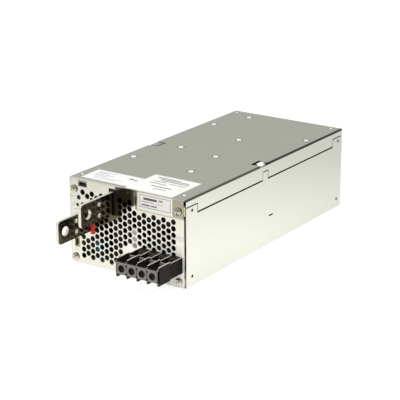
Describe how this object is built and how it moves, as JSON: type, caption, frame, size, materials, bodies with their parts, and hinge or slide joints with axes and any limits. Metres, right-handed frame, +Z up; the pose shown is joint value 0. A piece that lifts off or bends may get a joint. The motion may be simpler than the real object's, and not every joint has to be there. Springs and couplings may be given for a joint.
{
  "type": "mesh case switching power supply",
  "caption": "Enclosed switching power supply in a bright folded case with a perforated front, two output bars, a barrier terminal block and rear fans",
  "frame": {"origin": "middle of the underside of the case floor", "axes": "-Y out of the perforated front panel, +X to the right seen from the front, +Z up out of the cover"},
  "size_m": [0.129, 0.3282, 0.0821],
  "materials": {
    "nickel_sheet": "bright plated steel sheet",
    "screw_steel": "plated steel",
    "tinned_brass": "tinned brass",
    "bar_metal": "plated copper bar",
    "red_resin": "moulded insulating resin",
    "black_resin": "moulded insulating resin",
    "film": "polyester film",
    "circuit_board": "glass epoxy laminate",
    "connector_resin": "moulded connector resin",
    "blue_resin": "moulded resin",
    "lamp_resin": "diffused lamp resin",
    "heatsink_alloy": "extruded, bare",
    "ferrite": "sintered ferrite",
    "enamelled_copper": "enamelled copper wire",
    "coil_tape": "polyester coil tape",
    "capacitor_box": "boxed film capacitor",
    "ceramic_tube": "ceramic tube",
    "relay_resin": "relay case",
    "capacitor_sleeve": "shrink sleeve",
    "fan_resin": "glass filled resin",
    "label_film": "printed film label"
  },
  "bodies": {
    "case": {"board_screws": "screw_steel", "board_standoffs": "screw_steel", "bridge_rectifier": "black_resin", "bulk_capacitors": "capacitor_sleeve", "busbar_negative": "bar_metal", "busbar_positive": "bar_metal", "busbar_support": "black_resin", "bushing_negative": "black_resin", "bushing_positive": "red_resin", "chassis": "nickel_sheet", "choke_carriers": "black_resin", "control_board": "circuit_board", "control_chips": "black_resin", "cover_screws": "screw_steel", "cover_studs": "screw_steel", "fan_frame_left": "fan_resin", "fan_frame_right": "fan_resin", "fan_screws": "screw_steel", "film_capacitors": "capacitor_box", "filter_shield": "heatsink_alloy", "front_label": "label_film", "front_panel": "nickel_sheet", "fuse_clips": "tinned_brass", "inrush_relay": "relay_resin", "insulating_film": "film", "lifting_catches": "nickel_sheet", "line_choke_core": "ferrite", "line_choke_winding": "enamelled_copper", "line_fuse": "ceramic_tube", "main_board": "circuit_board", "main_transformer_coil": "coil_tape", "main_transformer_core": "ferrite", "output_capacitors": "capacitor_sleeve", "output_choke_coil": "enamelled_copper", "output_choke_core": "ferrite", "output_heatsink": "heatsink_alloy", "output_rectifiers": "black_resin", "panel_screws": "screw_steel", "pfc_choke_core": "ferrite", "pfc_choke_winding": "enamelled_copper", "power_transistors": "black_resin", "primary_heatsink": "heatsink_alloy", "rear_panel": "nickel_sheet", "remote_connector": "connector_resin", "signal_board": "circuit_board", "signal_connector": "connector_resin", "status_lamp": "lamp_resin", "terminal_base": "black_resin", "terminal_plates": "tinned_brass", "terminal_screws": "screw_steel", "top_cover": "nickel_sheet", "top_label_left": "label_film", "top_label_right": "label_film", "trimmer_body": "blue_resin"},
    "fan_rotor_left": {"fan_rotor_left": "fan_resin"},
    "fan_rotor_right": {"fan_rotor_right": "fan_resin"},
    "trimmer_rotor": {"trimmer_rotor": "tinned_brass"},
    "terminal_cover": {"terminal_cover": "black_resin"}
  },
  "joints": [
    {"name": "fan_spin_left", "type": "hinge", "parent": "case", "child": "fan_rotor_left", "pos_m": [-0.031, 0.1265, 0.0405], "axis": [0, 1, 0], "continuous": true},
    {"name": "fan_spin_right", "type": "hinge", "parent": "case", "child": "fan_rotor_right", "pos_m": [0.031, 0.1265, 0.0405], "axis": [0, 1, 0], "continuous": true},
    {"name": "trimmer_turn", "type": "hinge", "parent": "case", "child": "trimmer_rotor", "pos_m": [-0.054, -0.1365, 0.0634], "axis": [0, -1, 0], "range_deg": [-135, 135]},
    {"name": "terminal_cover_pull", "type": "slide", "parent": "case", "child": "terminal_cover", "axis": [0, -1, 0], "range_m": [0, 0.02]}
  ]
}
